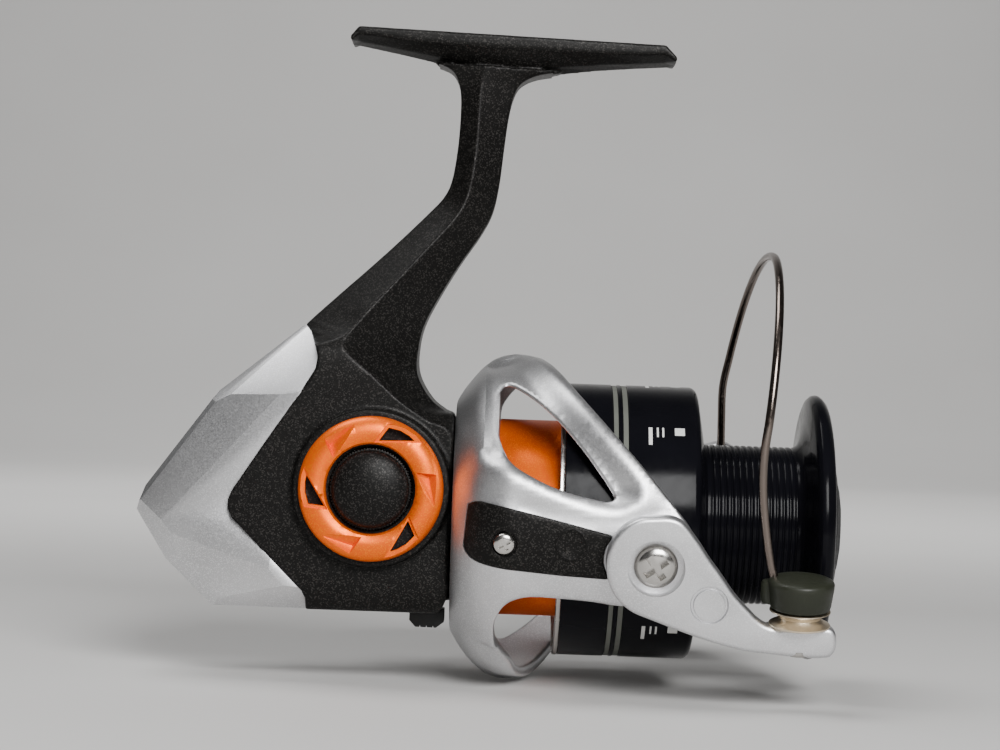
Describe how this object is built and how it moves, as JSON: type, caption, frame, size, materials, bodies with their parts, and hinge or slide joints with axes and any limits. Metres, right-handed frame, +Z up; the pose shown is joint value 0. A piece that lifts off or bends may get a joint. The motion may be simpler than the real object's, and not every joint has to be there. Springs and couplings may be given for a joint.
{
  "type": "spinning reel",
  "caption": "Fixed-spool fishing reel with an offset stem and foot, a geared rotor with folding bail, an oscillating spool with front drag, and a crank handle.",
  "frame": {"origin": "centre of the foot's seat face, where the reel meets the rod", "axes": "+X along the spool axis towards the front, +Z up towards the rod, +Y towards the handle"},
  "size_m": [0.1605, 0.1337, 0.1479],
  "materials": {
    "black_body": "satin with fine metallic flake",
    "silver_paint": "satin metallic",
    "orange_paint": "gloss metallic",
    "black_plastic": "fine grain",
    "spool_black": "gloss anodised",
    "bright_steel": "bright",
    "wire_steel": "polished",
    "bearing_steel": "ground",
    "zinc_casting": "cast",
    "brass": "machined",
    "nylon": "moulded",
    "olive_plastic": "satin",
    "roller_metal": "polished",
    "felt": "greased felt",
    "knob_rubber": "soft touch"
  },
  "bodies": {
    "housing": {"main_body": "black_body", "side_cover": "black_body", "rear_cover": "silver_paint", "trim_ring": "orange_paint", "handle_hole_cap": "black_plastic", "side_cover_screws": "bright_steel", "rear_cover_screw": "bright_steel", "drive_bearing_near": "bearing_steel", "drive_bearing_far": "bearing_steel", "pinion_bearing": "bearing_steel", "pinion_bush": "brass", "roller_clutch": "bearing_steel", "clutch_retainer": "black_plastic", "clutch_screws": "bright_steel", "guide_rods": "bearing_steel", "oscillation_axle": "bearing_steel"},
    "anti_reverse": {"anti_reverse_lever": "black_plastic"},
    "crank": {"drive_gear": "zinc_casting", "drive_shaft": "bearing_steel", "oscillation_drive_gear": "zinc_casting", "handle_arm": "silver_paint", "handle_screw": "bright_steel", "knob_shaft": "bearing_steel"},
    "knob": {"handle_knob": "knob_rubber", "knob_cap": "bright_steel"},
    "rotor_head": {"rotor": "silver_paint", "drum_ring": "orange_paint", "pinion_gear": "brass", "clutch_sleeve": "bearing_steel", "rotor_nut": "brass", "nut_lock_plate": "bright_steel", "arm_covers": "black_body", "arm_cover_screws": "bright_steel", "pivot_screws": "bright_steel", "bail_spring": "bearing_steel"},
    "bail": {"bail_arm": "silver_paint", "bail_wire": "wire_steel", "wire_holder": "olive_plastic", "roller_screw": "bright_steel", "roller_bush": "brass", "bail_mount": "silver_paint"},
    "roller": {"line_roller": "roller_metal"},
    "oscillator": {"oscillation_gear": "nylon"},
    "spool_shaft": {"main_shaft": "bearing_steel", "slider": "brass", "slider_screw": "bright_steel", "spool_support": "black_plastic", "spool_washer": "nylon"},
    "spool_head": {"spool": "spool_black", "skirt_ring": "bright_steel", "click_gear": "bearing_steel", "drag_washers": "bearing_steel", "drag_felts": "felt", "drag_clip": "bearing_steel"},
    "drag": {"drag_knob": "black_plastic", "knob_ring": "olive_plastic", "drag_spring": "bearing_steel"}
  },
  "joints": [
    {"name": "crank_turn", "type": "hinge", "parent": "housing", "child": "crank", "pos_m": [-0.0277, 0, -0.1036], "axis": [0, 1, 0], "continuous": true},
    {"name": "rotor_turn", "type": "hinge", "parent": "housing", "child": "rotor_head", "pos_m": [0, 0, -0.11], "axis": [1, 0, 0], "continuous": true},
    {"name": "oscillator_turn", "type": "hinge", "parent": "housing", "child": "oscillator", "pos_m": [-0.04773, 0, -0.1103], "axis": [0, 1, 0], "continuous": true},
    {"name": "knob_turn", "type": "hinge", "parent": "crank", "child": "knob", "pos_m": [0.0343, 0.07, -0.1036], "axis": [0, 1, 0], "continuous": true},
    {"name": "bail_flip", "type": "hinge", "parent": "rotor_head", "child": "bail", "pos_m": [0.0349, 0, -0.11], "axis": [0, 0.9836, 0.1805], "range_deg": [0, 108]},
    {"name": "roller_turn", "type": "hinge", "parent": "bail", "child": "roller", "pos_m": [0.0664, -0.03793, -0.12713], "axis": [0, -0.1805, 0.9836], "continuous": true},
    {"name": "spool_stroke", "type": "slide", "parent": "housing", "child": "spool_shaft", "axis": [1, 0, 0], "range_m": [0, 0.018]},
    {"name": "spool_turn", "type": "hinge", "parent": "spool_shaft", "child": "spool_head", "pos_m": [0.055, 0, -0.11], "axis": [1, 0, 0], "continuous": true},
    {"name": "drag_knob_turn", "type": "hinge", "parent": "spool_shaft", "child": "drag", "pos_m": [0.076, 0, -0.11], "axis": [1, 0, 0], "range_deg": [-720, 720]},
    {"name": "anti_reverse_swing", "type": "hinge", "parent": "housing", "child": "anti_reverse", "pos_m": [-0.0149, 0, -0.1314], "axis": [0, 0, 1], "range_deg": [0, 60]}
  ],
  "couplings": [
    {"joint": "rotor_turn", "follows": "crank_turn", "ratio": -4.5},
    {"joint": "oscillator_turn", "follows": "crank_turn", "ratio": -0.4}
  ]
}
